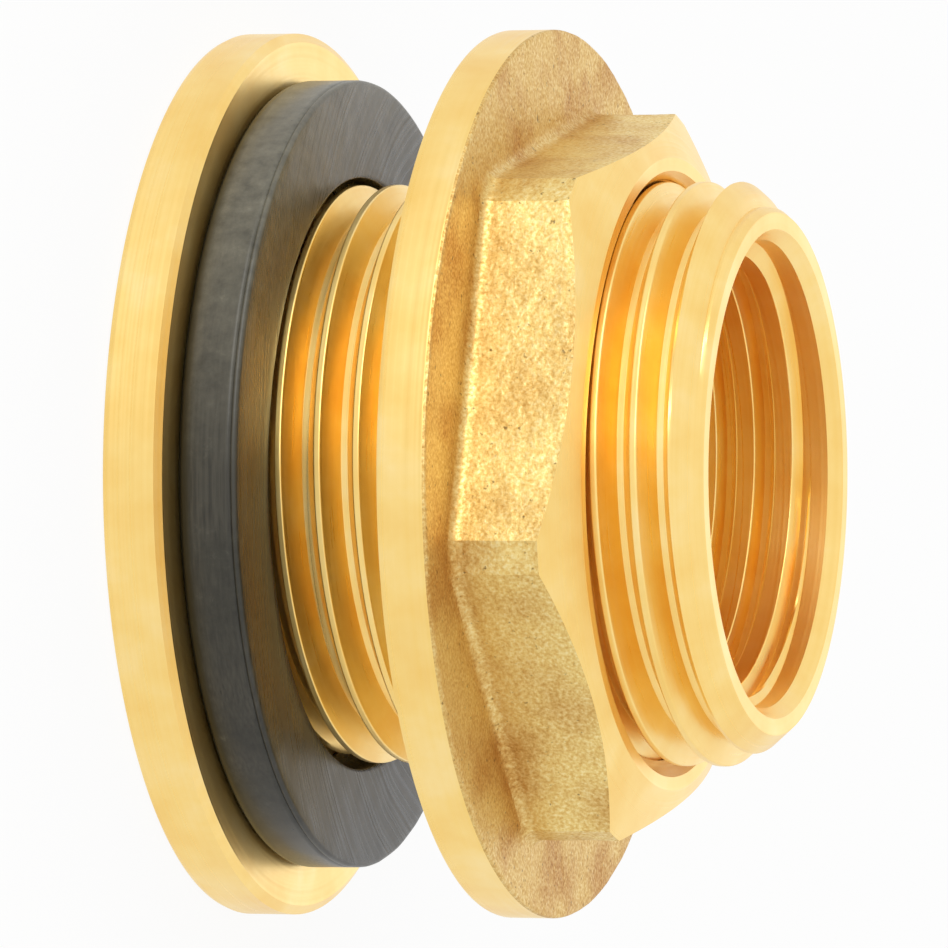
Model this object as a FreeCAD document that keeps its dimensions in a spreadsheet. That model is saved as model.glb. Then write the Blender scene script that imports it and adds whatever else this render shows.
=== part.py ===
"""Brass tank connector: a flanged, threaded body, a rubber seal washer and a flanged hexagon nut.

Millimetres. The pipe axis is +Z. The body stands on the back of its flange at z = 0, the washer lies
on the flange, and the nut is part of the way down the male thread, with room for a tank wall below it.
The body's two threads are true right-hand helices. The nut's thread is left as a plain bore that clears them.
"""

import FreeCAD
import Part
import Sketcher
import os

# Driving dimensions: name, millimetres (degrees for an angle)
SIZES = [
    ("flange_diameter", 40.0),
    ("flange_thickness", 2.7),
    ("flange_edge_chamfer", 0.3),
    ("overall_length", 24.9),
    ("thread_pitch", 25.4 / 14),
    ("thread_flank_angle", 27.5),
    ("male_thread_diameter", 26.2),
    ("male_thread_start", 1.01),
    ("relief_width", 1.2),
    ("relief_depth", 1.2),
    ("end_ring_width", 0.75),
    ("end_chamfer_length", 1.6),
    ("female_thread_diameter", 20.95),
    ("female_thread_depth", 0.625),
    ("female_thread_start", 2.06),
    ("female_socket_depth", 13.0),
    ("female_mouth_width", 1.1),
    ("female_mouth_depth", 0.7),
    ("waterway_diameter", 16.0),
    ("waterway_mouth_chamfer", 0.5),
    ("washer_diameter", 35.7),
    ("washer_thickness", 2.8),
    ("washer_bore_clearance", 0.3),
    ("washer_edge_radius", 0.2),
    ("tank_wall_gap", 7.1),
    ("nut_flange_thickness", 2.25),
    ("nut_rim_chamfer", 0.15),
    ("nut_height", 7.5),
    ("nut_across_flats", 30.0),
    ("nut_across_corners", 33.8),
    ("nut_crown_angle", 25.0),
    ("nut_root_fillet", 0.5),
    ("nut_bore_clearance", 0.15),
    ("nut_mouth_chamfer", 0.35),
    ("nut_front_width", 0.6),
]

SHEET = "Sizes"
# Radii and levels that more than one outline uses, as expressions on the sheet
FLANGE_RADIUS = "Sizes.flange_diameter / 2"
THREAD_RADIUS = "Sizes.male_thread_diameter / 2"
RELIEF_RADIUS = f"({THREAD_RADIUS} - Sizes.relief_depth)"
SOCKET_ROOT_RADIUS = "Sizes.female_thread_diameter / 2"
SOCKET_RADIUS = f"({SOCKET_ROOT_RADIUS} - Sizes.female_thread_depth)"
MOUTH_RADIUS = f"({SOCKET_RADIUS} + Sizes.female_mouth_width)"
WATERWAY_RADIUS = "Sizes.waterway_diameter / 2"
SOCKET_FLOOR = "(Sizes.overall_length - Sizes.female_socket_depth)"
WASHER_BORE_RADIUS = f"({THREAD_RADIUS} + Sizes.washer_bore_clearance)"
NUT_BORE_RADIUS = f"({THREAD_RADIUS} + Sizes.nut_bore_clearance)"
CORNER_RADIUS = "Sizes.nut_across_corners / 2"
HEXAGON_RADIUS = "Sizes.nut_across_flats / sqrt(3)"

# A pipe thread is a sharp V with a sixth of its height cut off at the root and at the crest
FLANK_SLOPE = "tan(Sizes.thread_flank_angle * 1 deg)"
THREAD_DEPTH = f"(Sizes.thread_pitch / 3 / {FLANK_SLOPE})"
HALF_ROOT = "(Sizes.thread_pitch / 12)"
CUTTER_CLEARANCE = "(Sizes.thread_pitch / 20)"

HEXAGON_SIDES = 6
TOUCH = 1e-4


def make_sheet(doc):
    """The spreadsheet of driving dimensions, one named cell each."""
    sheet = doc.addObject("Spreadsheet::Sheet", SHEET)
    for row, (name, value) in enumerate(SIZES, start=1):
        sheet.set(f"A{row}", name)
        sheet.set(f"B{row}", str(value))
        sheet.setAlias(f"B{row}", name)
    doc.recompute()
    return sheet


def make_body(doc, label):
    body = doc.addObject("PartDesign::Body", label)
    body.Label = label
    return body


def sketch_on(body, name, role):
    """An empty sketch on one of the body's own origin planes."""
    plane = next(f for f in body.Origin.OriginFeatures if f.Role == role)
    sketch = body.newObject("Sketcher::SketchObject", name)
    sketch.AttachmentSupport = (plane, "")
    sketch.MapMode = "FlatFace"
    return sketch


def half_section(body, name, corners):
    """A closed outline beside the axis: each corner is a radius and a height, as expressions."""
    sketch = sketch_on(body, name, "XZ_Plane")
    places = [[float(sketch.evalExpression(e)) for e in corner] for corner in corners]
    count = len(corners)
    for i in range(count):
        start = FreeCAD.Vector(*places[i], 0)
        end = FreeCAD.Vector(*places[(i + 1) % count], 0)
        sketch.addGeometry(Part.LineSegment(start, end), False)
    for i in range(count):
        sketch.addConstraint(Sketcher.Constraint("Coincident", i, 2, (i + 1) % count, 1))
    # a corner on the axis or at the base is held to that line, any other by its two distances
    for i, corner in enumerate(corners):
        for kind, line, expression, place in (
            ("DistanceX", -2, corner[0], places[i][0]),
            ("DistanceY", -1, corner[1], places[i][1]),
        ):
            if expression == "0":
                sketch.addConstraint(Sketcher.Constraint("PointOnObject", i, 1, line))
                continue
            held = sketch.addConstraint(Sketcher.Constraint(kind, -1, 1, i, 1, place))
            sketch.setExpression(f"Constraints[{held}]", expression)
    return sketch


def turned(body, feature, name, corners):
    """A Revolution or a Groove of a half section, all the way round the axis."""
    sketch = half_section(body, f"{name}Section", corners)
    made = body.newObject(f"PartDesign::{feature}", name)
    made.Profile = sketch
    made.ReferenceAxis = (sketch, ["V_Axis"])
    made.Angle = 360
    body.Document.recompute()
    return made


def threaded(body, name, root, clear, depth, start, end):
    """Cuts a helical groove from its root radius to one in clear air, rising from one height to another."""
    half_mouth = f"({HALF_ROOT} + ({depth} + {CUTTER_CLEARANCE}) * {FLANK_SLOPE})"
    sketch = half_section(body, f"{name}Section", [
        (root, f"{start} - {HALF_ROOT}"),
        (root, f"{start} + {HALF_ROOT}"),
        (clear, f"{start} + {half_mouth}"),
        (clear, f"{start} - {half_mouth}"),
    ])
    groove = body.newObject("PartDesign::SubtractiveHelix", name)
    groove.Profile = sketch
    groove.ReferenceAxis = (sketch, ["V_Axis"])
    groove.Mode = "pitch-height-angle"
    groove.setExpression("Pitch", "Sizes.thread_pitch")
    groove.setExpression("Height", f"{end} - {start}")
    body.Document.recompute()
    return groove


def make_flanged_body(doc):
    """One turned brass piece: flange, thread relief, male thread, threaded socket and waterway."""
    body = make_body(doc, "flanged_body")
    edge = "Sizes.flange_edge_chamfer"
    length = "Sizes.overall_length"
    relief_top = "(Sizes.flange_thickness + Sizes.relief_width)"
    turned(body, "Revolution", "Turning", [
        (f"{WATERWAY_RADIUS} + Sizes.waterway_mouth_chamfer", "0"),
        (f"{FLANGE_RADIUS} - {edge}", "0"),
        (FLANGE_RADIUS, edge),
        (FLANGE_RADIUS, f"Sizes.flange_thickness - {edge}"),
        (f"{FLANGE_RADIUS} - {edge}", "Sizes.flange_thickness"),
        (RELIEF_RADIUS, "Sizes.flange_thickness"),
        (RELIEF_RADIUS, relief_top),
        (THREAD_RADIUS, f"{relief_top} + Sizes.relief_depth"),
        (THREAD_RADIUS, f"{length} - Sizes.end_chamfer_length"),
        (f"{MOUTH_RADIUS} + Sizes.end_ring_width", length),
        (MOUTH_RADIUS, length),
        (SOCKET_RADIUS, f"{length} - Sizes.female_mouth_depth"),
        (SOCKET_RADIUS, SOCKET_FLOOR),
        (WATERWAY_RADIUS, f"{SOCKET_FLOOR} - ({SOCKET_RADIUS} - {WATERWAY_RADIUS})"),
        (WATERWAY_RADIUS, "Sizes.waterway_mouth_chamfer"),
    ])
    # both grooves start on the +X side and run out past the free end
    past_end = f"({length} + Sizes.thread_pitch / 2)"
    threaded(
        body, "MaleThread",
        root=f"({THREAD_RADIUS} - {THREAD_DEPTH})",
        clear=f"({THREAD_RADIUS} + {CUTTER_CLEARANCE})",
        depth=THREAD_DEPTH,
        start="(Sizes.flange_thickness + Sizes.male_thread_start)",
        end=past_end,
    )
    threaded(
        body, "FemaleThread",
        root=SOCKET_ROOT_RADIUS,
        clear=f"({SOCKET_RADIUS} - {CUTTER_CLEARANCE})",
        depth="Sizes.female_thread_depth",
        start=f"({SOCKET_FLOOR} + Sizes.female_thread_start)",
        end=past_end,
    )
    return body


def make_seal_washer(doc):
    """A flat rubber ring with softened edges, lying on the flange."""
    body = make_body(doc, "seal_washer")
    top = "Sizes.washer_thickness"
    outside = "Sizes.washer_diameter / 2"
    ring = turned(body, "Revolution", "Ring", [
        (WASHER_BORE_RADIUS, "0"),
        (outside, "0"),
        (outside, top),
        (WASHER_BORE_RADIUS, top),
    ])
    rims = [f"Edge{i}" for i, e in enumerate(ring.Shape.Edges, start=1) if e.Closed and is_circle(e)]
    soft = body.newObject("PartDesign::Fillet", "SoftEdges")
    soft.Base = (ring, rims)
    soft.setExpression("Radius", "Sizes.washer_edge_radius")
    body.setExpression("Placement.Base.z", "Sizes.flange_thickness")
    doc.recompute()
    return body


def is_circle(edge):
    return edge.Curve.TypeId == "Part::GeomCircle"


def hexagon_sketch(body):
    """A regular hexagon at the top of the nut's flange, with a corner on +X."""
    sketch = sketch_on(body, "Hexagon", "XY_Plane")
    sketch.setExpression("AttachmentOffset.Base.z", "Sizes.nut_flange_thickness")
    radius = float(sketch.evalExpression(HEXAGON_RADIUS))
    corner = FreeCAD.Vector(radius, 0, 0)
    turn = FreeCAD.Rotation(FreeCAD.Vector(0, 0, 1), 360 / HEXAGON_SIDES)
    for _ in range(HEXAGON_SIDES):
        sketch.addGeometry(Part.LineSegment(corner, turn.multVec(corner)), False)
        corner = turn.multVec(corner)
    circle = sketch.addGeometry(Part.Circle(FreeCAD.Vector(), FreeCAD.Vector(0, 0, 1), radius), True)
    sketch.addConstraint(Sketcher.Constraint("Coincident", circle, 3, -1, 1))
    held = sketch.addConstraint(Sketcher.Constraint("Radius", circle, radius))
    sketch.setExpression(f"Constraints[{held}]", HEXAGON_RADIUS)
    for side in range(HEXAGON_SIDES):
        following = (side + 1) % HEXAGON_SIDES
        sketch.addConstraint(Sketcher.Constraint("Coincident", side, 2, following, 1))
        sketch.addConstraint(Sketcher.Constraint("PointOnObject", side, 1, circle))
        if following:
            sketch.addConstraint(Sketcher.Constraint("Equal", side, following))
    sketch.addConstraint(Sketcher.Constraint("PointOnObject", 0, 1, -1))
    return sketch


def make_flange_nut(doc, sheet):
    """One cast and turned brass piece: round flange, hexagon with a turned crown, tapped bore."""
    body = make_body(doc, "flange_nut")
    rim = "Sizes.nut_rim_chamfer"
    flange_top = "Sizes.nut_flange_thickness"
    height = "Sizes.nut_height"
    mouth = "Sizes.nut_mouth_chamfer"
    turned(body, "Revolution", "Flange", [
        ("0", "0"),
        (f"{FLANGE_RADIUS} - {rim}", "0"),
        (FLANGE_RADIUS, rim),
        (FLANGE_RADIUS, f"{flange_top} - {rim}"),
        (f"{FLANGE_RADIUS} - {rim}", flange_top),
        ("0", flange_top),
    ])
    hexagon = body.newObject("PartDesign::Pad", "HexagonPad")
    hexagon.Profile = hexagon_sketch(body)
    hexagon.setExpression("Length", f"{height} - {flange_top}")
    doc.recompute()

    # the crown cuts the corners back to a circle and slopes the front face away from the flats
    front_radius = f"({NUT_BORE_RADIUS} + {mouth} + Sizes.nut_front_width)"
    slope = f"({CORNER_RADIUS} - {front_radius}) * tan(Sizes.nut_crown_angle * 1 deg)"
    clear_radius = f"{CORNER_RADIUS} + {HEXAGON_RADIUS}"
    crown = turned(body, "Groove", "Crown", [
        (CORNER_RADIUS, flange_top),
        (clear_radius, flange_top),
        (clear_radius, height),
        (front_radius, height),
        (CORNER_RADIUS, f"{height} - {slope}"),
    ])
    roots = body.newObject("PartDesign::Fillet", "HexagonRoot")
    roots.Base = (crown, hexagon_root_edges(crown.Shape, sheet))
    roots.setExpression("Radius", "Sizes.nut_root_fillet")
    doc.recompute()

    turned(body, "Groove", "TappedBore", [
        ("0", "0"),
        (f"{NUT_BORE_RADIUS} + {mouth}", "0"),
        (NUT_BORE_RADIUS, mouth),
        (NUT_BORE_RADIUS, f"{height} - {mouth}"),
        (f"{NUT_BORE_RADIUS} + {mouth}", height),
        ("0", height),
    ])
    body.setExpression(
        "Placement.Base.z", "Sizes.flange_thickness + Sizes.washer_thickness + Sizes.tank_wall_gap"
    )
    doc.recompute()
    return body


def hexagon_root_edges(shape, sheet):
    """The edges where the hexagon's sides and cut corners stand on the flange."""
    level = sheet.nut_flange_thickness
    reach = sheet.nut_across_corners / 2 + TOUCH
    names = []
    for i, edge in enumerate(shape.Edges, start=1):
        box = edge.BoundBox
        flat = abs(box.ZMin - level) < TOUCH and abs(box.ZMax - level) < TOUCH
        inside = max(v.Point.x**2 + v.Point.y**2 for v in edge.Vertexes) <= reach**2
        if flat and inside:
            names.append(f"Edge{i}")
    return names


def check(doc, bodies):
    """Stops if any object failed to rebuild, or a sub-part isn't one valid solid."""
    for item in doc.Objects:
        if {"Invalid", "Error"} & set(item.State):
            raise RuntimeError(f"{item.Name} failed: {item.State}")
    for body in bodies:
        shape = body.Shape
        if shape.isNull() or not shape.isValid() or len(shape.Solids) != 1:
            raise RuntimeError(f"{body.Label} isn't one valid solid")
        box = shape.optimalBoundingBox(False, False)
        print(f"{body.Label}: {shape.Volume:.1f} mm3, z {box.ZMin:.2f} to {box.ZMax:.2f}")


def main():
    doc = FreeCAD.newDocument("TankConnector")
    sheet = make_sheet(doc)
    bodies = [make_flanged_body(doc), make_seal_washer(doc), make_flange_nut(doc, sheet)]
    doc.recompute()
    check(doc, bodies)
    os.makedirs("parts", exist_ok=True)
    for body in bodies:
        body.Shape.exportStep(f"parts/{body.Label}.step")


main()
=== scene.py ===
# %% [markdown]
# # A brass tank connector
#
# Three pieces make this plumbing part: a turned brass body with a flange and two threads, a black rubber
# washer, and a flanged hexagon nut. The solids that come with the frame already hold every size. This lesson
# cuts the threads again with broken edges that catch the light, threads the nut too, gives it its cast skin,
# and lights the part as a small thing on a white table.

import math

import bmesh
import bpy
from mathutils import Matrix, Vector, noise


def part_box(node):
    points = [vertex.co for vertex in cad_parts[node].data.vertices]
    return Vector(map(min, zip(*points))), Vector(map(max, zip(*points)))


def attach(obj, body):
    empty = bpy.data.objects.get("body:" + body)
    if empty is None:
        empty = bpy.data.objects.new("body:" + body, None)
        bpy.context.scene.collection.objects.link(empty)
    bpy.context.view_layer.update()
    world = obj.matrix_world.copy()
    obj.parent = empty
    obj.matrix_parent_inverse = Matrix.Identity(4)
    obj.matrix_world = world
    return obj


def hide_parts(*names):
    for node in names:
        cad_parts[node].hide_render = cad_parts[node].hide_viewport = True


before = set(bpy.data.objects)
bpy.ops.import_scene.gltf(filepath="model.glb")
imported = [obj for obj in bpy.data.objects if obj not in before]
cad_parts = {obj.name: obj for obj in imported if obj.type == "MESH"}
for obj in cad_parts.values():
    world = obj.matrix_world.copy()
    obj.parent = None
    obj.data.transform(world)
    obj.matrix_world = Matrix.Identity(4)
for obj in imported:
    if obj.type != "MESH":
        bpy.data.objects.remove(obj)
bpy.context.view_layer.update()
print("solids:", sorted(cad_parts))

# %% [markdown]
# ## Sizes
#
# Meshes are drawn in millimetres, as on a maker's drawing, and shrunk to metres when they are finished.
# The levels along the pipe axis come from the boxes of the solids, so they can't drift from them.

# %% Levels and radii
MM = 0.001


def level(node, side):
    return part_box(node)[side].z / MM


FLANGE_TOP = level("seal_washer", 0)
WASHER_TOP = level("seal_washer", 1)
NUT_BACK = level("flange_nut", 0)
NUT_FRONT = level("flange_nut", 1)
BODY_END = level("flanged_body", 1)
FLANGE_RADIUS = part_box("flanged_body")[1].x / MM
WASHER_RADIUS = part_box("seal_washer")[1].x / MM
print(f"flange to {FLANGE_TOP:.2f}, washer to {WASHER_TOP:.2f}, nut {NUT_BACK:.2f} to {NUT_FRONT:.2f} mm")

# %% [markdown]
# Both threads are pipe threads with 14 turns to the inch and flanks 55 degrees apart. The outside one loses
# a sixth of its sharp V at the crest and at the root, so the pitch sets its depth. The socket is bored wide,
# which leaves its thread shallow, with broad flat crests.

# %% Pipe threads
PITCH = 25.4 / 14
FLANK_SLOPE = math.tan(math.radians(55 / 2))
THREAD_DEPTH = PITCH / 3 / FLANK_SLOPE
MALE_CREST = 13.1
MALE_ROOT = MALE_CREST - THREAD_DEPTH
SOCKET_ROOT = 10.475
SOCKET_CREST = 9.85
SOCKET_FLOOR = BODY_END - 13.0
print(f"pitch {PITCH:.3f} mm, depth {THREAD_DEPTH:.3f} outside, {SOCKET_ROOT - SOCKET_CREST:.3f} inside")

# %% [markdown]
# ## The camera
#
# The part was photographed lying along the picture, its outlet turned a little towards the viewer. Here it
# stands on its flange instead, so the camera is rolled a quarter turn. A long lens keeps the two
# flanges nearly the same size.

# %% Camera
AXIS_TILT = math.radians(17.8)
HEX_TURN = math.radians(47.6)
LOOK_AT = 10.65
CAMERA_AWAY = 425.0
FIELD_OF_VIEW = math.radians(5.77)

along = Vector((0, 0, 1))
away = Vector((math.cos(HEX_TURN), math.sin(HEX_TURN), 0))
down = Vector((math.sin(HEX_TURN), -math.cos(HEX_TURN), 0))
right = math.cos(AXIS_TILT) * along + math.sin(AXIS_TILT) * away
forward = math.cos(AXIS_TILT) * away - math.sin(AXIS_TILT) * along

camera = bpy.data.objects.new("camera", bpy.data.cameras.new("camera"))
bpy.context.scene.collection.objects.link(camera)
bpy.context.scene.camera = camera
camera.data.sensor_fit = "HORIZONTAL"
camera.data.angle = FIELD_OF_VIEW
camera.data.clip_start = 0.01
place = Matrix.Translation((along * LOOK_AT - forward * CAMERA_AWAY) * MM)
camera.matrix_world = place @ Matrix((right, -down, -forward)).transposed().to_4x4()
print(f"lens {camera.data.lens:.0f} mm, {CAMERA_AWAY:.0f} mm away")

# %% [markdown]
# ## Turning
#
# A lathe makes most of this part, so a spin is the natural tool: an outline beside the axis goes once round.
# Where a shape repeats round the axis, it is quicker to spin one sector and copy it. The copies meet in
# doubled vertices, which are merged.

# %% Turning
ROUND_STEPS = 192
MERGE = 1e-4
ORIGIN, UP = (0, 0, 0), (0, 0, 1)


def everything(bm):
    return bm.verts[:] + bm.edges[:] + bm.faces[:]


def chain(bm, points):
    """A row of vertices and edges beside the axis, from points of (radius, height)."""
    verts = [bm.verts.new((radius, 0, height)) for radius, height in points]
    edges = [bm.edges.new(pair) for pair in zip(verts, verts[1:])]
    return verts + edges


def repeat(bm, count, turn=0.0, lift=0.0):
    """Copies a mesh until there are count of it, each a step further on, and merges the seams."""
    first = everything(bm)
    for i in range(1, count):
        copy = bmesh.ops.duplicate(bm, geom=first)["geom"]
        verts = [v for v in copy if isinstance(v, bmesh.types.BMVert)]
        bmesh.ops.rotate(bm, verts=verts, cent=ORIGIN, matrix=Matrix.Rotation(turn * i, 3, "Z"))
        bmesh.ops.translate(bm, verts=verts, vec=(0, 0, lift * i))
    bmesh.ops.remove_doubles(bm, verts=bm.verts, dist=MERGE)


def turned_shell(points, steps=ROUND_STEPS, sectors=1):
    """Spins an outline of (radius, height) round the axis, or one sector that is then copied."""
    bm = bmesh.new()
    sector = math.tau / sectors
    bmesh.ops.spin(
        bm, geom=chain(bm, points), cent=ORIGIN, axis=UP, angle=sector,
        steps=steps // sectors, use_merge=sectors == 1,
    )
    repeat(bm, sectors, turn=sector)
    return bm


print(f"a full round has {ROUND_STEPS} steps of {360 / ROUND_STEPS:.2f} degrees")

# %% [markdown]
# ## A thread's outline
#
# A thread tool cuts a V with a flat root. On the real part the crests' corners are broken, and those narrow
# edges are what the light catches first. Five points ease each corner, and the outer two of them only keep
# the flats beside it flat.

# %% Groove
BROKEN_EDGE = 0.035
EASE = 0.35
ROOT_HALF = PITCH / 12
FLANK_ROWS = (0.25, 0.5, 0.75)


def broken_corner(corner, before, after, size):
    """Five points that ease a sharp corner of an outline."""
    corner, before, after = Vector(corner), Vector(before).normalized(), Vector(after).normalized()
    start, end = corner + before * size, corner + after * size
    middle = start * EASE + corner * (1 - 2 * EASE) + end * EASE
    return [corner + before * size * 2, start, middle, end, corner + after * size * 2]


def groove_outline(depth):
    """One thread groove from crest to crest, as distance along the axis and rise from the root, in mm."""
    foot = Vector((ROOT_HALF, 0))
    lip = Vector((ROOT_HALF + depth * FLANK_SLOPE, depth))
    half = [
        Vector((0, 0)),
        foot,
        *[foot.lerp(lip, share) for share in FLANK_ROWS],
        *broken_corner(lip, (-FLANK_SLOPE, -1), (1, 0), BROKEN_EDGE),
        Vector((PITCH / 2, depth)),
    ]
    return [(-z, h) for z, h in reversed(half[1:])] + [(z, h) for z, h in half]


print(f"a groove has {len(groove_outline(THREAD_DEPTH))} points, its corners broken by {BROKEN_EDGE} mm")

# %% [markdown]
# ## Threading
#
# A thread is the same spin with a small step along the axis at each stop. One turn is spun, and each copy of
# it starts where the last one ended, so the surface is one long helix, which is then cut flat at both ends.
# A real thread is cut into a blank that has its chamfers already, so each wall is trimmed to such a blank.

# %% Threading
THREAD_STEPS = 144


def axis_distance(co):
    return math.hypot(co.x, co.y)


def move_to_radius(v, wanted):
    scale = wanted / axis_distance(v.co)
    v.co.x *= scale
    v.co.y *= scale


def slice_mesh(bm, point, normal, drop=False):
    """Cuts a row of edges along a plane. drop deletes what stands beyond it."""
    bmesh.ops.bisect_plane(
        bm, geom=everything(bm), dist=MERGE, plane_co=point, plane_no=normal, clear_outer=drop
    )


def thread_wall(root_radius, rise, low, high, groove_level, blank, creases=()):
    """A helical wall between two heights, trimmed to the radius that blank(height, radius) leaves.

    rise is negative for a thread cut outwards into a bore, groove_level is where the middle of a groove
    crosses +X, and creases are the heights at which the blank's outline turns.
    """
    bm = bmesh.new()
    outward = math.copysign(1, rise)
    base = groove_level - PITCH * (math.ceil((groove_level - low) / PITCH) + 1)
    section = [(root_radius + outward * h, base + z) for z, h in groove_outline(abs(rise))]
    bmesh.ops.spin(
        bm, geom=chain(bm, section), cent=ORIGIN, axis=UP,
        dvec=(0, 0, PITCH / THREAD_STEPS), angle=math.tau, steps=THREAD_STEPS,
    )
    repeat(bm, math.ceil((high - base) / PITCH) + 1, lift=PITCH)
    slice_mesh(bm, (0, 0, low), (0, 0, -1), drop=True)
    slice_mesh(bm, (0, 0, high), UP, drop=True)
    for height in creases:
        slice_mesh(bm, (0, 0, height), UP)
    for v in bm.verts:
        move_to_radius(v, blank(v.co.z, axis_distance(v.co)))
    return bm


print(f"each stop climbs {PITCH / THREAD_STEPS:.4f} mm")

# %% [markdown]
# ## Joining
#
# A piece is made of several walls. They go into one mesh, the flat rings between them are filled, and the
# seams are merged, so that each piece ends as one closed skin. A fill is used because a bridge could join
# two rims of unlike counts with a twist.

# %% Joining
CREASE, SOFT_CREASE = math.radians(24), math.radians(60)
NEAR = 10 * MERGE


def add_mesh(bm, other):
    """Moves another bmesh's faces into bm."""
    carrier = bpy.data.meshes.new("carrier")
    other.to_mesh(carrier)
    other.free()
    bm.from_mesh(carrier)
    bpy.data.meshes.remove(carrier)


def fill_ring(bm, height, inner, outer):
    """Closes the flat ring between two open rims at one height."""
    rims = [
        e for e in bm.edges
        if e.is_boundary
        and all(abs(v.co.z - height) < NEAR for v in e.verts)
        and all(inner <= axis_distance(v.co) <= outer for v in e.verts)
    ]
    filled = bmesh.ops.triangle_fill(bm, edges=rims, use_beauty=True, normal=UP)["geom"]
    return [f for f in filled if isinstance(f, bmesh.types.BMFace)]


def finish_piece(bm, name, crease):
    """Closes up a mesh, points its faces outwards and makes it an object, in metres."""
    bmesh.ops.remove_doubles(bm, verts=bm.verts, dist=MERGE)
    bmesh.ops.dissolve_degenerate(bm, edges=bm.edges, dist=MERGE / 10)
    bmesh.ops.recalc_face_normals(bm, faces=bm.faces)
    open_edges = sum(not e.is_manifold for e in bm.edges)
    for face in bm.faces:
        face.smooth = True
    for edge in bm.edges:
        edge.smooth = edge.calc_face_angle(math.pi) < crease
    bmesh.ops.scale(bm, vec=(MM, MM, MM), verts=bm.verts)
    mesh = bpy.data.meshes.new(name)
    bm.to_mesh(mesh)
    bm.free()
    piece = bpy.data.objects.new(name, mesh)
    bpy.context.scene.collection.objects.link(piece)
    mesh.calc_loop_triangles()
    print(f"{name}: {len(mesh.loop_triangles)} triangles, {open_edges} open edges")
    return piece


print(f"seams merge within {MERGE} mm, edges over {math.degrees(CREASE):.0f} degrees stay sharp")

# %% [markdown]
# ## The flanged body
#
# The real one is turned from brass bar and threaded outside and in. The outside thread runs out in a
# relief groove behind the flange, and a long chamfer at the free end takes the tops off the last turn, which
# leaves only a narrow flat ring. The socket's mouth is bored out to the thread's root, down to a shoulder
# where the first crest begins, and a short countersink breaks its edge.

# %% Body threads
RELIEF_RADIUS = MALE_CREST - 1.2
RELIEF_END = FLANGE_TOP + 1.2
MOUTH_RADIUS, MOUTH_DEPTH = SOCKET_CREST + 1.1, 0.6
SHOULDER_TOP, SHOULDER_FOOT = BODY_END - 1.4, BODY_END - 1.82
RING_RADIUS, END_CHAMFER = MOUTH_RADIUS + 0.75, 1.6
MALE_GROOVE = FLANGE_TOP + 1.01
SOCKET_GROOVE = SOCKET_FLOOR + 2.06
SOCKET_LEAD = 1.0


def male_blank(height, radius):
    run_out = RELIEF_RADIUS + max(0.0, height - RELIEF_END)
    up_chamfer = max(0.0, height - (BODY_END - END_CHAMFER)) / END_CHAMFER
    return min(radius, run_out, MALE_CREST - (MALE_CREST - RING_RADIUS) * up_chamfer)


def socket_blank(height, radius):
    tapped = min(radius, SOCKET_CREST + max(0.0, height - SOCKET_FLOOR - SOCKET_LEAD))
    up_shoulder = min(1.0, max(0.0, height - SHOULDER_FOOT) / (SHOULDER_TOP - SHOULDER_FOOT))
    up_mouth = max(0.0, height - (BODY_END - MOUTH_DEPTH)) / MOUTH_DEPTH
    opened = (SOCKET_ROOT - SOCKET_CREST) * up_shoulder + (MOUTH_RADIUS - SOCKET_ROOT) * up_mouth
    return max(tapped, SOCKET_CREST + opened)


body_bm = thread_wall(
    MALE_ROOT, THREAD_DEPTH, FLANGE_TOP, BODY_END, MALE_GROOVE, male_blank,
    creases=(RELIEF_END, BODY_END - END_CHAMFER),
)
add_mesh(body_bm, thread_wall(
    SOCKET_ROOT, SOCKET_CREST - SOCKET_ROOT, SOCKET_FLOOR, BODY_END, SOCKET_GROOVE, socket_blank,
    creases=(SOCKET_FLOOR + SOCKET_LEAD, SHOULDER_FOOT, SHOULDER_TOP, BODY_END - MOUTH_DEPTH),
))
print(f"two helical walls, {len(body_bm.faces)} faces")

# %% [markdown]
# The rest of the body is one spin: from the socket's floor down the waterway, round the flange and back to
# the foot of the thread. The flange's front edge is a crisp chamfer and its back edge a little round. A
# support row close to each edge keeps the shading of the rim straight.

# %% Flange and waterway
WATERWAY, WATERWAY_EDGE = 8.0, 0.5
SOCKET_STEP = SOCKET_CREST - 0.2
BACK_EDGE = 0.3
CHAMFER_DEPTH, CHAMFER_WIDTH = 0.27, 0.4
SUPPORT = 0.08
FACE_GAP, GAP_SLACK = 0.4, 0.1

add_mesh(body_bm, turned_shell([
    (SOCKET_STEP, SOCKET_FLOOR),
    (WATERWAY, SOCKET_FLOOR - (SOCKET_STEP - WATERWAY)),
    (WATERWAY, WATERWAY_EDGE),
    (WATERWAY + WATERWAY_EDGE * 0.24, WATERWAY_EDGE / 2),
    (WATERWAY + WATERWAY_EDGE, 0.0),
    (FLANGE_RADIUS - BACK_EDGE, 0.0),
    (FLANGE_RADIUS - BACK_EDGE * 0.3, BACK_EDGE * 0.3),
    (FLANGE_RADIUS, BACK_EDGE),
    (FLANGE_RADIUS, BACK_EDGE + SUPPORT),
    (FLANGE_RADIUS, FLANGE_TOP - CHAMFER_DEPTH - SUPPORT),
    (FLANGE_RADIUS, FLANGE_TOP - CHAMFER_DEPTH),
    (FLANGE_RADIUS - CHAMFER_WIDTH, FLANGE_TOP),
    (RELIEF_RADIUS + FACE_GAP, FLANGE_TOP),
]))
for height, inner, outer in (
    (BODY_END, SOCKET_CREST, MALE_CREST),
    (SOCKET_FLOOR, WATERWAY, SOCKET_ROOT),
    (FLANGE_TOP, RELIEF_RADIUS - GAP_SLACK, RELIEF_RADIUS + FACE_GAP + GAP_SLACK),
):
    fill_ring(body_bm, height, inner, outer)
body = finish_piece(body_bm, "flanged_body_threaded", CREASE)
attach(body, "flanged_body")
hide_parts("flanged_body")

# %% [markdown]
# ## The seal washer
#
# A ring of black rubber, cut from sheet. Handling has rounded its edges a little, the flange has pressed its
# lower edge rounder, and the knife left a narrow groove in the rim beside the front edge. A spin of its
# section makes it, and a slight waviness keeps it from looking machined.

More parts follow.
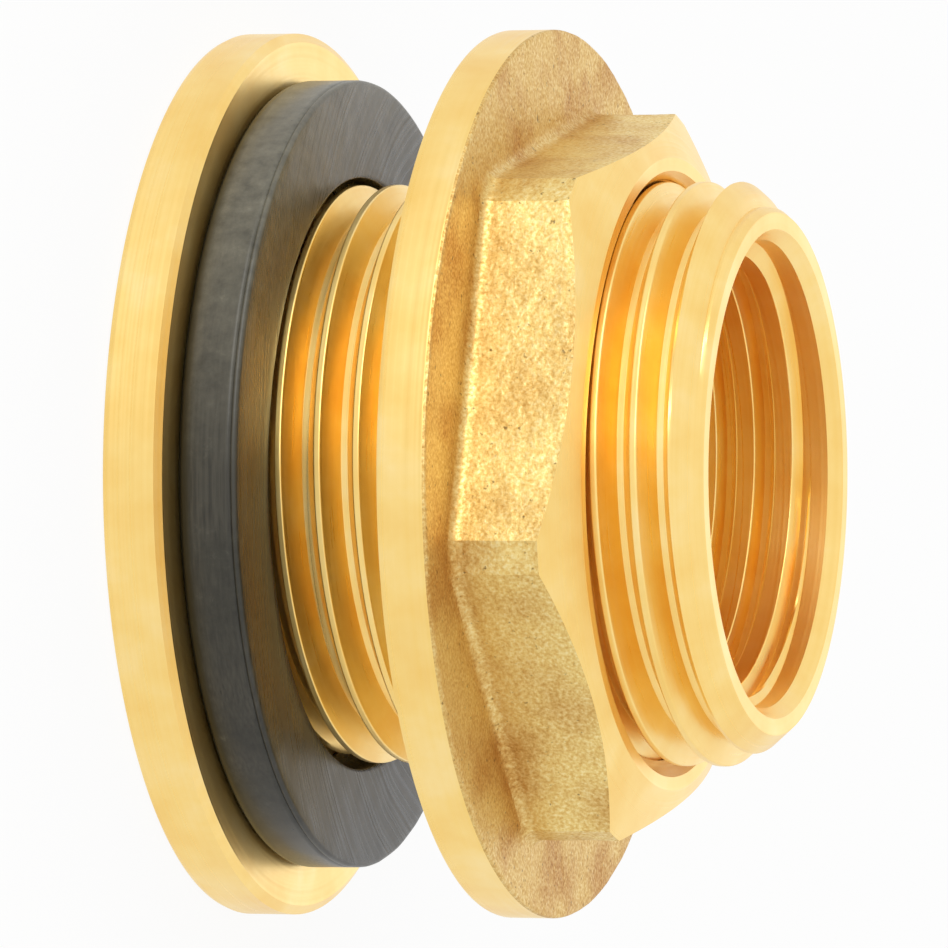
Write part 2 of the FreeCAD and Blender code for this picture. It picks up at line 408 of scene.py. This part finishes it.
# %% Washer section
WASHER_BORE = 13.4
SOFT, PRESSED = 0.2, 0.5
CORNER_ROWS, FACE_ROWS, RIM_ROWS = 4, 8, 7
RIM_START, RIM_STEP = 0.6, 0.28
# depth of the groove, and distance below the rounded front edge
KNIFE_GROOVE = ((0.0, 0.02), (0.09, 0.09), (0.0, 0.17))


def soft_corner(radius, height, out, up, size=SOFT):
    """Points round a corner of the section, whose centre is at radius, height."""
    return [
        (radius + out * size * math.sin(a), height + up * size * math.cos(a))
        for a in (math.pi / 2 * i / CORNER_ROWS for i in range(CORNER_ROWS + 1))
    ]


inside, outside = WASHER_BORE + SOFT, WASHER_RADIUS - SOFT
section = (
    soft_corner(outside, WASHER_TOP - SOFT, 1, 1)
    + [(WASHER_RADIUS - depth, WASHER_TOP - SOFT - below) for depth, below in KNIFE_GROOVE]
    + [(WASHER_RADIUS, FLANGE_TOP + RIM_START + RIM_STEP * i) for i in reversed(range(RIM_ROWS))]
    + soft_corner(WASHER_RADIUS - PRESSED, FLANGE_TOP + PRESSED, 1, -1, PRESSED)[::-1]
    + soft_corner(inside, FLANGE_TOP + SOFT, -1, -1)
    + soft_corner(inside, WASHER_TOP - SOFT, -1, 1)[::-1]
    + [(inside + (outside - inside) * i / FACE_ROWS, WASHER_TOP) for i in range(1, FACE_ROWS)]
)
print(f"washer section of {len(section)} points, {WASHER_RADIUS - WASHER_BORE:.2f} mm wide")

# %% Seal washer
WASHER_STEPS = 256
WAVES_PER_MM, WAVE = 0.45, 0.03
SEATED = FLANGE_TOP + 0.1

washer_bm = turned_shell(section + section[:1], steps=WASHER_STEPS)
for v in washer_bm.verts:
    wave = noise.noise(v.co * WAVES_PER_MM) * WAVE
    if v.co.z > SEATED:
        v.co.z -= abs(wave)
    v.co.xy *= 1 - abs(wave) / WASHER_RADIUS
washer = finish_piece(washer_bm, "seal_washer_rubber", SOFT_CREASE)
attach(washer, "seal_washer")
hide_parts("seal_washer")

# %% [markdown]
# ## The flange nut
#
# The nut is cast, so its hexagon and the front of its flange keep the sand's grain, and then its rim, back,
# crown and thread are turned clean. It is spun as a round blank with many rows first. Its flats are
# pressed in afterwards, row by row, which leaves a fine even grid for the cast skin, where a boolean cut
# would leave long thin triangles.

# %% Nut blank
NUT_FLANGE_TOP = NUT_BACK + 2.25
FLAT, CORNER = 15.0, 16.9
CROWN = math.tan(math.radians(25))
ROOT_FILLET = 0.5
NUT_MOUTH, MOUTH_GAP = 13.6, 0.06
CROWN_START = NUT_MOUTH + 0.6
RIM_EDGE, RIM_EASE = 0.15, 0.04
NUT_STEPS = 600


def spread(start, end, count):
    return [start + (end - start) * i / count for i in range(1, count + 1)]


def crown_height(radius):
    return NUT_FRONT - max(0.0, radius - CROWN_START) * CROWN


FOOT, BROW = NUT_FLANGE_TOP + ROOT_FILLET, crown_height(CORNER)
FILLET_END, FACE_END = CORNER + ROOT_FILLET, FLANGE_RADIUS - RIM_EDGE
crown_rows = [(r, crown_height(r)) for r in spread(CROWN_START, CORNER, 12)]
side_rows = [(CORNER, z) for z in spread(BROW, FOOT, 26)]
fillet_rows = [
    (FILLET_END - ROOT_FILLET * math.cos(a), FOOT - ROOT_FILLET * math.sin(a))
    for a in spread(0.0, math.pi / 2, 4)
]
face_rows = [(r, NUT_FLANGE_TOP) for r in spread(FILLET_END, FACE_END, 20)]

nut_bm = turned_shell([
    (NUT_MOUTH + MOUTH_GAP, NUT_FRONT),
    (CROWN_START, NUT_FRONT),
    *crown_rows, *side_rows, *fillet_rows, *face_rows,
    (FLANGE_RADIUS - RIM_EASE, NUT_FLANGE_TOP - RIM_EASE),
    (FLANGE_RADIUS, NUT_FLANGE_TOP - RIM_EDGE),
    (FLANGE_RADIUS, NUT_FLANGE_TOP - RIM_EDGE - SUPPORT),
    (FLANGE_RADIUS, NUT_BACK + RIM_EDGE + SUPPORT),
    (FLANGE_RADIUS, NUT_BACK + RIM_EDGE),
    (FLANGE_RADIUS - RIM_EASE, NUT_BACK + RIM_EASE),
    (FACE_END, NUT_BACK),
    (NUT_MOUTH + MOUTH_GAP, NUT_BACK),
], steps=NUT_STEPS, sectors=6)
print(f"round blank of {len(nut_bm.verts)} vertices")

# %% [markdown]
# The hexagon's corners are cut back to a circle, as on the real nut. Seams are cut first where each flat
# meets the rounded corner beside it. Then crown and sides shrink to the hexagon, and the flange's face
# follows them in to their foot.

# %% Press the flats in
SIXTH = math.tau / 6
FACET = SIXTH / 2 - math.acos(FLAT / CORNER)


def hexagon_radius(angle):
    """Where the hexagon's side stands at this angle, its corners cut back to a circle."""
    return min(CORNER, FLAT / math.cos((angle % SIXTH) - SIXTH / 2))


for i in range(3):
    for angle in (SIXTH * i - FACET, SIXTH * i + FACET):
        slice_mesh(nut_bm, ORIGIN, (-math.sin(angle), math.cos(angle), 0))

for v in nut_bm.verts:
    radius = axis_distance(v.co)
    if v.co.z < NUT_FLANGE_TOP - MERGE or radius < CROWN_START + MERGE:
        continue
    side = hexagon_radius(math.atan2(v.co.y, v.co.x))
    if v.co.z > BROW - MERGE:
        pressed = CROWN_START + (radius - CROWN_START) * (side - CROWN_START) / (CORNER - CROWN_START)
        v.co.z = crown_height(pressed)
    elif v.co.z > FOOT + MERGE:
        pressed = side
        v.co.z = FOOT + (v.co.z - FOOT) * (crown_height(side) - FOOT) / (BROW - FOOT)
    else:
        reach = (FACE_END - radius) / (FACE_END - FILLET_END)
        pressed = radius - (CORNER - side) * max(0.0, min(1.0, reach))
    move_to_radius(v, pressed)
print(f"hexagon {2 * FLAT:.0f} mm across flats, {2 * CORNER:.1f} across its cut corners")

# %% [markdown]
# Faces get their finish by place: the flange's front and the hexagon's sides are as cast, and the rest is
# turned. The cast ones are then moved by a slow and a fast noise, which is the sand's grain as far as the
# mesh can hold it. The finer part is left to the material.

# %% Cast skin
CAST, TURNED = 0, 1
CROWN_MARGIN, RIM_MARGIN = 0.03, 0.01
SWELLS_PER_MM, SWELL = 0.6, 0.03
GRITS_PER_MM, GRIT = 2.6, 0.012
GRIT_SHIFT = Vector((7, 0, 0))


def is_cast(face):
    centre = face.calc_center_median()
    radius = axis_distance(centre)
    below_crown = NUT_FLANGE_TOP - RIM_EDGE < centre.z < crown_height(radius) - CROWN_MARGIN
    return below_crown and radius < FLANGE_RADIUS - RIM_MARGIN


for face in nut_bm.faces:
    face.material_index = CAST if is_cast(face) else TURNED

nut_bm.normal_update()
grain = {}
for v in nut_bm.verts:
    if all(f.material_index == CAST for f in v.link_faces):
        swell = noise.noise(v.co * SWELLS_PER_MM) * SWELL
        grit = noise.noise(v.co * GRITS_PER_MM + GRIT_SHIFT) * GRIT
        grain[v] = v.normal * (swell + grit)
for v, move in grain.items():
    v.co += move
print(f"{len(grain)} of {len(nut_bm.verts)} vertices carry the cast skin")

# %% [markdown]
# The nut's thread is the body's own, a little larger and in step with it, so the two mesh at rest and all
# along the nut's travel. A chamfer opens it at both faces.

# %% Nut thread
THREAD_PLAY = 0.12


def nut_blank(height, radius):
    from_face = min(height - NUT_BACK, NUT_FRONT - height)
    return max(radius, NUT_MOUTH - from_face)


nut_thread = thread_wall(
    MALE_ROOT + THREAD_PLAY, THREAD_DEPTH, NUT_BACK, NUT_FRONT, MALE_GROOVE, nut_blank
)
for face in nut_thread.faces:
    face.material_index = TURNED
add_mesh(nut_bm, nut_thread)
bmesh.ops.remove_doubles(nut_bm, verts=nut_bm.verts, dist=MERGE)
for height in (NUT_BACK, NUT_FRONT):
    for face in fill_ring(nut_bm, height, MALE_ROOT, CROWN_START - MERGE):
        face.material_index = TURNED
nut = finish_piece(nut_bm, "flange_nut_cast", CREASE)
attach(nut, "flange_nut")
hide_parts("flange_nut")

# %% [markdown]
# ## Materials
#
# Colours are written as the web writes them and turned to the linear values that shaders use. One helper
# adds a node, sets it up and links it, so a material reads from top to bottom as a list of steps. Patterns
# are read from the piece's own coordinates in millimetres, so a scale is one over a real size.

# %% Node helper


def colour(code):
    """An sRGB hex code as linear red, green, blue and alpha."""
    parts = [int(code[i:i + 2], 16) / 255 for i in (1, 3, 5)]
    return [c / 12.92 if c <= 0.04045 else ((c + 0.055) / 1.055) ** 2.4 for c in parts] + [1.0]


def add(tree, kind, links, stops=(), **settings):
    """Adds a node. links maps its inputs, by name or place, to values or to other nodes' outputs.

    stops are a colour ramp's colours, as (place, hex code).
    """
    made = tree.nodes.new(kind)
    for name, value in settings.items():
        setattr(made, name, value)
    for place, value in links.items():
        if isinstance(value, bpy.types.NodeSocket):
            tree.links.new(value, made.inputs[place])
        else:
            made.inputs[place].default_value = value
    for i, (place, code) in enumerate(stops):
        stop = made.color_ramp.elements[i] if i < 2 else made.color_ramp.elements.new(place)
        stop.position, stop.color = place, colour(code)
    return made


def new_material(name):
    made = bpy.data.materials.new(name)
    made.use_nodes = True
    made.node_tree.nodes.clear()
    return made, made.node_tree


def millimetres(tree):
    """Object coordinates in mm, the same with the height taken out, and the height."""
    place = add(tree, "ShaderNodeTexCoord", {}).outputs["Object"]
    mm = add(tree, "ShaderNodeVectorMath", {0: place, "Scale": 1 / MM}, operation="SCALE").outputs["Vector"]
    flat = add(tree, "ShaderNodeVectorMath", {0: mm, 1: (1, 1, 0)}, operation="MULTIPLY").outputs["Vector"]
    height = add(tree, "ShaderNodeSeparateXYZ", {0: mm}).outputs["Z"]
    return mm, flat, height


print("mid grey is", [round(c, 3) for c in colour("#808080")])

# %% [markdown]
# ### Turned brass
#
# Bar brass, cut on a lathe: a warm gold that goes amber where the metal mirrors itself, as in the thread's
# roots and the socket. The tool leaves fine rings, about a tenth of a millimetre apart, so the marks are a
# noise read along radius and height only.

# %% Turned brass
TOOL_MARK = 0.12
STAIN_SIZE = 3.0
RING_SHARE = 0.08

turned_brass, tree = new_material("turned_brass")
mm, flat, height = millimetres(tree)
radius = add(tree, "ShaderNodeVectorMath", {0: flat}, operation="LENGTH").outputs["Value"]
lathe = add(tree, "ShaderNodeCombineXYZ", {"X": radius, "Z": height}).outputs["Vector"]
marks = add(tree, "ShaderNodeTexNoise", {
    "Vector": lathe, "Scale": 1 / TOOL_MARK, "Detail": 3.0,
}).outputs["Fac"]
stain = add(tree, "ShaderNodeTexNoise", {
    "Vector": mm, "Scale": 1 / STAIN_SIZE, "Detail": 4.0,
}).outputs["Fac"]
tone = add(
    tree, "ShaderNodeValToRGB", {"Fac": stain},
    stops=[(0.3, "#F7CE74"), (0.75, "#FDE19B"), (0.55, "#FBD986")],
).outputs["Color"]
rings = add(
    tree, "ShaderNodeValToRGB", {"Fac": marks}, stops=[(0.35, "#F0C470"), (0.62, "#FEEAB8")]
).outputs["Color"]
shaded = add(tree, "ShaderNodeMix", {"Factor": RING_SHARE, 6: tone, 7: rings}, data_type="RGBA").outputs[2]
gloss = add(tree, "ShaderNodeMapRange", {
    "Value": marks, "From Min": 0.3, "From Max": 0.7, "To Min": 0.26, "To Max": 0.4,
}).outputs["Result"]
bump = add(tree, "ShaderNodeBump", {
    "Height": marks, "Strength": 0.25, "Distance": 0.01 * MM,
}).outputs["Normal"]
surface = add(tree, "ShaderNodeBsdfPrincipled", {
    "Base Color": shaded, "Metallic": 1.0, "Roughness": gloss, "Normal": bump,
})
add(tree, "ShaderNodeOutputMaterial", {"Surface": surface.outputs[0]})
body.data.materials.append(turned_brass)
print(f"{turned_brass.name}: {len(tree.nodes)} nodes, tool marks of {TOOL_MARK} mm")

# %% [markdown]
# ### Cast brass
#
# The same alloy as it left the sand and the blasting cabinet: rough and matte, with dark specks where sand
# or oxide stayed in a pit. Grains of about a sixth of a millimetre carry the roughness, over softer lumps of
# half a millimetre. The specks are twice as large as the grains and far apart. Cloudy patches are duller and
# browner. The corner at the hexagon's foot and the flange's face are painted duller and browner as painted
# shade.

# %% Cast brass
SAND_GRAIN = 0.16
LUMP_SIZE = 0.5
PIT_SIZE = 0.3
CLOUD_SIZE = 3.5
# how far up the hexagon's sides the painted corner shade reaches, in mm
CORNER_SHADE = 0.5

cast_brass, tree = new_material("cast_brass")
mm, flat, height = millimetres(tree)
sand = add(tree, "ShaderNodeTexNoise", {
    "Vector": mm, "Scale": 1 / SAND_GRAIN, "Detail": 3.0, "Roughness": 0.6,
}).outputs["Fac"]
pits = add(tree, "ShaderNodeTexNoise", {
    "Vector": mm, "Scale": 1 / PIT_SIZE, "Detail": 2.0,
}).outputs["Fac"]
cloud = add(tree, "ShaderNodeTexNoise", {
    "Vector": mm, "Scale": 1 / CLOUD_SIZE, "Detail": 3.0,
}).outputs["Fac"]
lumps = add(tree, "ShaderNodeTexNoise", {
    "Vector": mm, "Scale": 1 / LUMP_SIZE, "Detail": 1.0,
}).outputs["Fac"]
bright = add(
    tree, "ShaderNodeValToRGB", {"Fac": sand}, stops=[(0.3, "#DBB568"), (0.7, "#F6E4A8"), (0.5, "#EBD086")]
).outputs["Color"]
dull = add(
    tree, "ShaderNodeValToRGB", {"Fac": sand}, stops=[(0.3, "#AC7A3A"), (0.7, "#D8B672"), (0.5, "#C89850")]
).outputs["Color"]
patches = add(tree, "ShaderNodeMapRange", {
    "Value": cloud, "From Min": 0.44, "From Max": 0.8, "To Min": 0.0, "To Max": 0.9,
}).outputs["Result"]
# Painted shade: the hexagon's foot and the flange's face go towards the duller, browner colour.
corner = add(tree, "ShaderNodeMapRange", {
    "Value": height, "From Min": FOOT + CORNER_SHADE, "From Max": NUT_FLANGE_TOP,
    "To Min": 0.0, "To Max": 0.45,
}).outputs["Result"]
stains_and_corner_shade = add(tree, "ShaderNodeMath", {0: patches, 1: corner}, operation="ADD").outputs[0]
clouded = add(tree, "ShaderNodeMix", {"Factor": stains_and_corner_shade, 6: bright, 7: dull}, data_type="RGBA").outputs[2]
dark = add(tree, "ShaderNodeMapRange", {
    "Value": pits, "From Min": 0.33, "From Max": 0.24, "To Min": 0.0, "To Max": 0.7,
}).outputs["Result"]
shaded = add(
    tree, "ShaderNodeMix", {"Factor": dark, 6: clouded, 7: colour("#5E4222")}, data_type="RGBA"
).outputs[2]
gloss = add(tree, "ShaderNodeMapRange", {
    "Value": sand, "From Min": 0.3, "From Max": 0.7, "To Min": 0.58, "To Max": 0.4,
}).outputs["Result"]
lumpy = add(tree, "ShaderNodeBump", {
    "Height": lumps, "Strength": 0.4, "Distance": 0.1 * MM,
}).outputs["Normal"]
bump = add(tree, "ShaderNodeBump", {
    "Height": sand, "Strength": 0.4, "Distance": 0.05 * MM, "Normal": lumpy,
}).outputs["Normal"]
surface = add(tree, "ShaderNodeBsdfPrincipled", {
    "Base Color": shaded, "Metallic": 1.0, "Roughness": gloss, "Normal": bump,
})
add(tree, "ShaderNodeOutputMaterial", {"Surface": surface.outputs[0]})
nut.data.materials.append(cast_brass)
nut.data.materials.append(turned_brass)
print(f"{cast_brass.name}: {len(tree.nodes)} nodes, sand grains of {SAND_GRAIN} mm")

# %% [markdown]
# ### Black rubber
#
# Sheet rubber, nearly black with a soft shine and a little pale dust. A knife on a swinging arm left fine
# arcs across its face: their noise is read along the distance from a pivot off the axis, pushed about by a
# slower noise. The rim shows them only faintly. The scratches are dull and the skin between them is smooth.

# %% Rubber scratches
SCRATCH = 0.14
SWAY_LENGTH, SWAY = 4.0, 0.5
KNIFE_PIVOT = away * 14.0
RIM_BLUR = 0.1

black_rubber, tree = new_material("black_rubber")
mm, flat, height = millimetres(tree)
radius = add(tree, "ShaderNodeVectorMath", {0: flat}, operation="LENGTH").outputs["Value"]
reach = add(
    tree, "ShaderNodeVectorMath", {0: flat, 1: tuple(KNIFE_PIVOT)}, operation="DISTANCE"
).outputs["Value"]
stroke = add(tree, "ShaderNodeCombineXYZ", {"X": reach, "Z": height}).outputs["Vector"]
sway = add(tree, "ShaderNodeTexNoise", {"Vector": mm, "Scale": 1 / SWAY_LENGTH, "Detail": 1.0})
swayed = add(tree, "ShaderNodeVectorMath", {
    0: sway.outputs["Color"], 1: (SWAY, 0, 0), 2: stroke,
}, operation="MULTIPLY_ADD").outputs["Vector"]
strokes = add(tree, "ShaderNodeTexNoise", {
    "Vector": swayed, "Scale": 1 / SCRATCH, "Detail": 4.0,
}).outputs["Fac"]
on_face = add(tree, "ShaderNodeMapRange", {
    "Value": radius, "From Min": outside - RIM_BLUR, "From Max": outside + RIM_BLUR,
    "To Min": 1.0, "To Max": 0.3,
}).outputs["Result"]
scratches = add(tree, "ShaderNodeMix", {"Factor": on_face, 2: 0.5, 3: strokes}).outputs[0]
print(f"scratches of {SCRATCH} mm about a pivot {KNIFE_PIVOT.length:.0f} mm off the axis")

# %% [markdown]
# The colour goes on in layers. Dust lies in small specks, and the slow noise says where the face is worn
# enough to show its scratches instead. A painted highlight, paler grey broken up by the dust, lies on the
# side towards the key lamp, and painted shade keeps the crevice next to the flange black.

# %% Rubber colour
DUST_SIZE = 0.8
# the side of the painted highlight, towards the key lamp
HIGHLIGHT_SIDE = -down - 0.4 * away
# heights between which the painted shade in the crevice next to the flange fades out
CREVICE_SHADE_LOW, CREVICE_SHADE_HIGH = FLANGE_TOP + 0.25, FLANGE_TOP + 0.75

dust = add(tree, "ShaderNodeTexNoise", {
    "Vector": mm, "Scale": 1 / DUST_SIZE, "Detail": 6.0, "Roughness": 0.7,
}).outputs["Fac"]
dusty = add(
    tree, "ShaderNodeValToRGB", {"Fac": dust}, stops=[(0.35, "#272621"), (0.8, "#626055"), (0.6, "#37362F")]
).outputs["Color"]
scored = add(
    tree, "ShaderNodeValToRGB", {"Fac": scratches}, stops=[(0.38, "#1C1B18"), (0.66, "#58554B")]
).outputs["Color"]
worn = add(tree, "ShaderNodeMapRange", {
    "Value": sway.outputs["Fac"], "From Min": 0.4, "From Max": 0.6, "To Min": 0.25, "To Max": 0.85,
}).outputs["Result"]
plain = add(tree, "ShaderNodeMix", {"Factor": worn, 6: dusty, 7: scored}, data_type="RGBA").outputs[2]
# Painted highlight: the side towards the key lamp is mixed towards pale grey, in patches of the dust noise.
side = add(
    tree, "ShaderNodeVectorMath", {0: mm, 1: tuple(HIGHLIGHT_SIDE)}, operation="DOT_PRODUCT"
).outputs["Value"]
painted_highlight = add(tree, "ShaderNodeMapRange", {
    "Value": side, "From Min": 7.0, "From Max": 18.0, "To Min": 0.0, "To Max": 0.75,
}).outputs["Result"]
highlight_in_dust = add(tree, "ShaderNodeMath", {0: painted_highlight, 1: dust}, operation="MULTIPLY").outputs[0]
dust_and_highlight = add(
    tree, "ShaderNodeMix", {"Factor": highlight_in_dust, 6: plain, 7: colour("#8E8A7A")}, data_type="RGBA"
).outputs[2]
# Painted shade: the crevice next to the flange is mixed towards black.
crevice_shade = add(tree, "ShaderNodeMapRange", {
    "Value": height, "From Min": CREVICE_SHADE_LOW, "From Max": CREVICE_SHADE_HIGH, "To Min": 0.9, "To Max": 0.0,
}).outputs["Result"]
shaded = add(
    tree, "ShaderNodeMix", {"Factor": crevice_shade, 6: dust_and_highlight, 7: colour("#0C0B09")}, data_type="RGBA"
).outputs[2]
print(f"dust of {DUST_SIZE} mm, black below {CREVICE_SHADE_LOW:.2f} mm")

# %% Rubber surface
gloss = add(tree, "ShaderNodeMapRange", {
    "Value": scratches, "From Min": 0.35, "From Max": 0.65, "To Min": 0.22, "To Max": 0.42,
}).outputs["Result"]
bump = add(tree, "ShaderNodeBump", {
    "Height": scratches, "Strength": 0.2, "Distance": 0.01 * MM,
}).outputs["Normal"]
surface = add(tree, "ShaderNodeBsdfPrincipled", {
    "Base Color": shaded, "Roughness": gloss, "Specular IOR Level": 0.3, "Normal": bump,
})
add(tree, "ShaderNodeOutputMaterial", {"Surface": surface.outputs[0]})
washer.data.materials.append(black_rubber)
print(f"{black_rubber.name}: {len(tree.nodes)} nodes")

# %% [markdown]
# ## Table and room
#
# A white table in a white room: what the camera and the metal see of them is white, while the light that
# reaches dull surfaces stays at an ordinary level. Light Path tells the two kinds of ray apart.

# %% White surroundings
ROOM_LIGHT = 0.85
TABLE_GLOW = 0.9
TABLE_HALF = 3.0
WHITE = (1, 1, 1, 1)


def seen_directly(tree):
    """1 for camera, mirror and glass rays, 0 for soft light."""
    path = add(tree, "ShaderNodeLightPath", {})
    first = add(
        tree, "ShaderNodeMath", {0: path.outputs["Is Camera Ray"], 1: path.outputs["Is Glossy Ray"]},
        operation="MAXIMUM",
    ).outputs[0]
    return add(
        tree, "ShaderNodeMath", {0: first, 1: path.outputs["Is Transmission Ray"]}, operation="MAXIMUM"
    ).outputs[0]


world = bpy.data.worlds.new("white_room")
bpy.context.scene.world = world
world.use_nodes = True
tree = world.node_tree
tree.nodes.clear()
strength = add(
    tree, "ShaderNodeMapRange", {"Value": seen_directly(tree), "To Min": ROOM_LIGHT, "To Max": 1.0}
).outputs["Result"]
room = add(tree, "ShaderNodeBackground", {"Color": WHITE, "Strength": strength})
add(tree, "ShaderNodeOutputWorld", {"Surface": room.outputs[0]})

white_table, tree = new_material("white_table")
paper = add(tree, "ShaderNodeBsdfDiffuse", {"Color": colour("#F4F4F2")})
glow = add(tree, "ShaderNodeEmission", {"Color": WHITE, "Strength": 1.0})
share = add(tree, "ShaderNodeMath", {0: seen_directly(tree), 1: TABLE_GLOW}, operation="MULTIPLY").outputs[0]
both = add(tree, "ShaderNodeMixShader", {"Fac": share, 1: paper.outputs[0], 2: glow.outputs[0]})
add(tree, "ShaderNodeOutputMaterial", {"Surface": both.outputs[0]})
print(f"room at {ROOM_LIGHT} for soft light, 1 where it is seen")

# %% Table
table_bm = bmesh.new()
bmesh.ops.create_grid(table_bm, x_segments=1, y_segments=1, size=TABLE_HALF)
table_mesh = bpy.data.meshes.new("table")
table_bm.to_mesh(table_mesh)
table_bm.free()
table = bpy.data.objects.new("table", table_mesh)
table.data.materials.append(white_table)
bpy.context.scene.collection.objects.link(table)
print(f"table {2 * TABLE_HALF:.0f} m wide")

# %% [markdown]
# ## Lamps
#
# A long soft lamp stands on the camera's side, towards the picture's upper edge, and gives the brass its
# bright side. A weak one behind the part is there for the faces that look along the pipe, which mirror it.

# %% Lamps


def soft_lamp(name, direction, distance, width, height, watts):
    """A lamp of width by height at a distance, in mm, aimed at the middle of the part."""
    data = bpy.data.lights.new(name, "AREA")
    data.shape = "RECTANGLE"
    data.size, data.size_y = width * MM, height * MM
    data.energy = watts
    lamp = bpy.data.objects.new(name, data)
    bpy.context.scene.collection.objects.link(lamp)
    lamp.location = (along * LOOK_AT + direction.normalized() * distance) * MM
    lamp.rotation_euler = (-direction).to_track_quat("-Z", "Y").to_euler()
    print(f"{name} lamp: {watts} W, {width} by {height} mm, {distance} mm away")


soft_lamp(
    "key", -away * 0.75 - down * 0.62 + along * 0.2, distance=420, width=420, height=130, watts=0.8
)
soft_lamp("back", away * 0.95 + along * 0.31, distance=500, width=300, height=300, watts=0.07)

# %% [markdown]
# ## Render settings
#
# Light bounces many times between the bright walls of a socket or a thread's root. With the usual four
# mirror bounces those places would go dark, so there are more.

# %% Render settings
bpy.context.scene.view_settings.view_transform = "Standard"
bpy.context.scene.cycles.glossy_bounces = 12
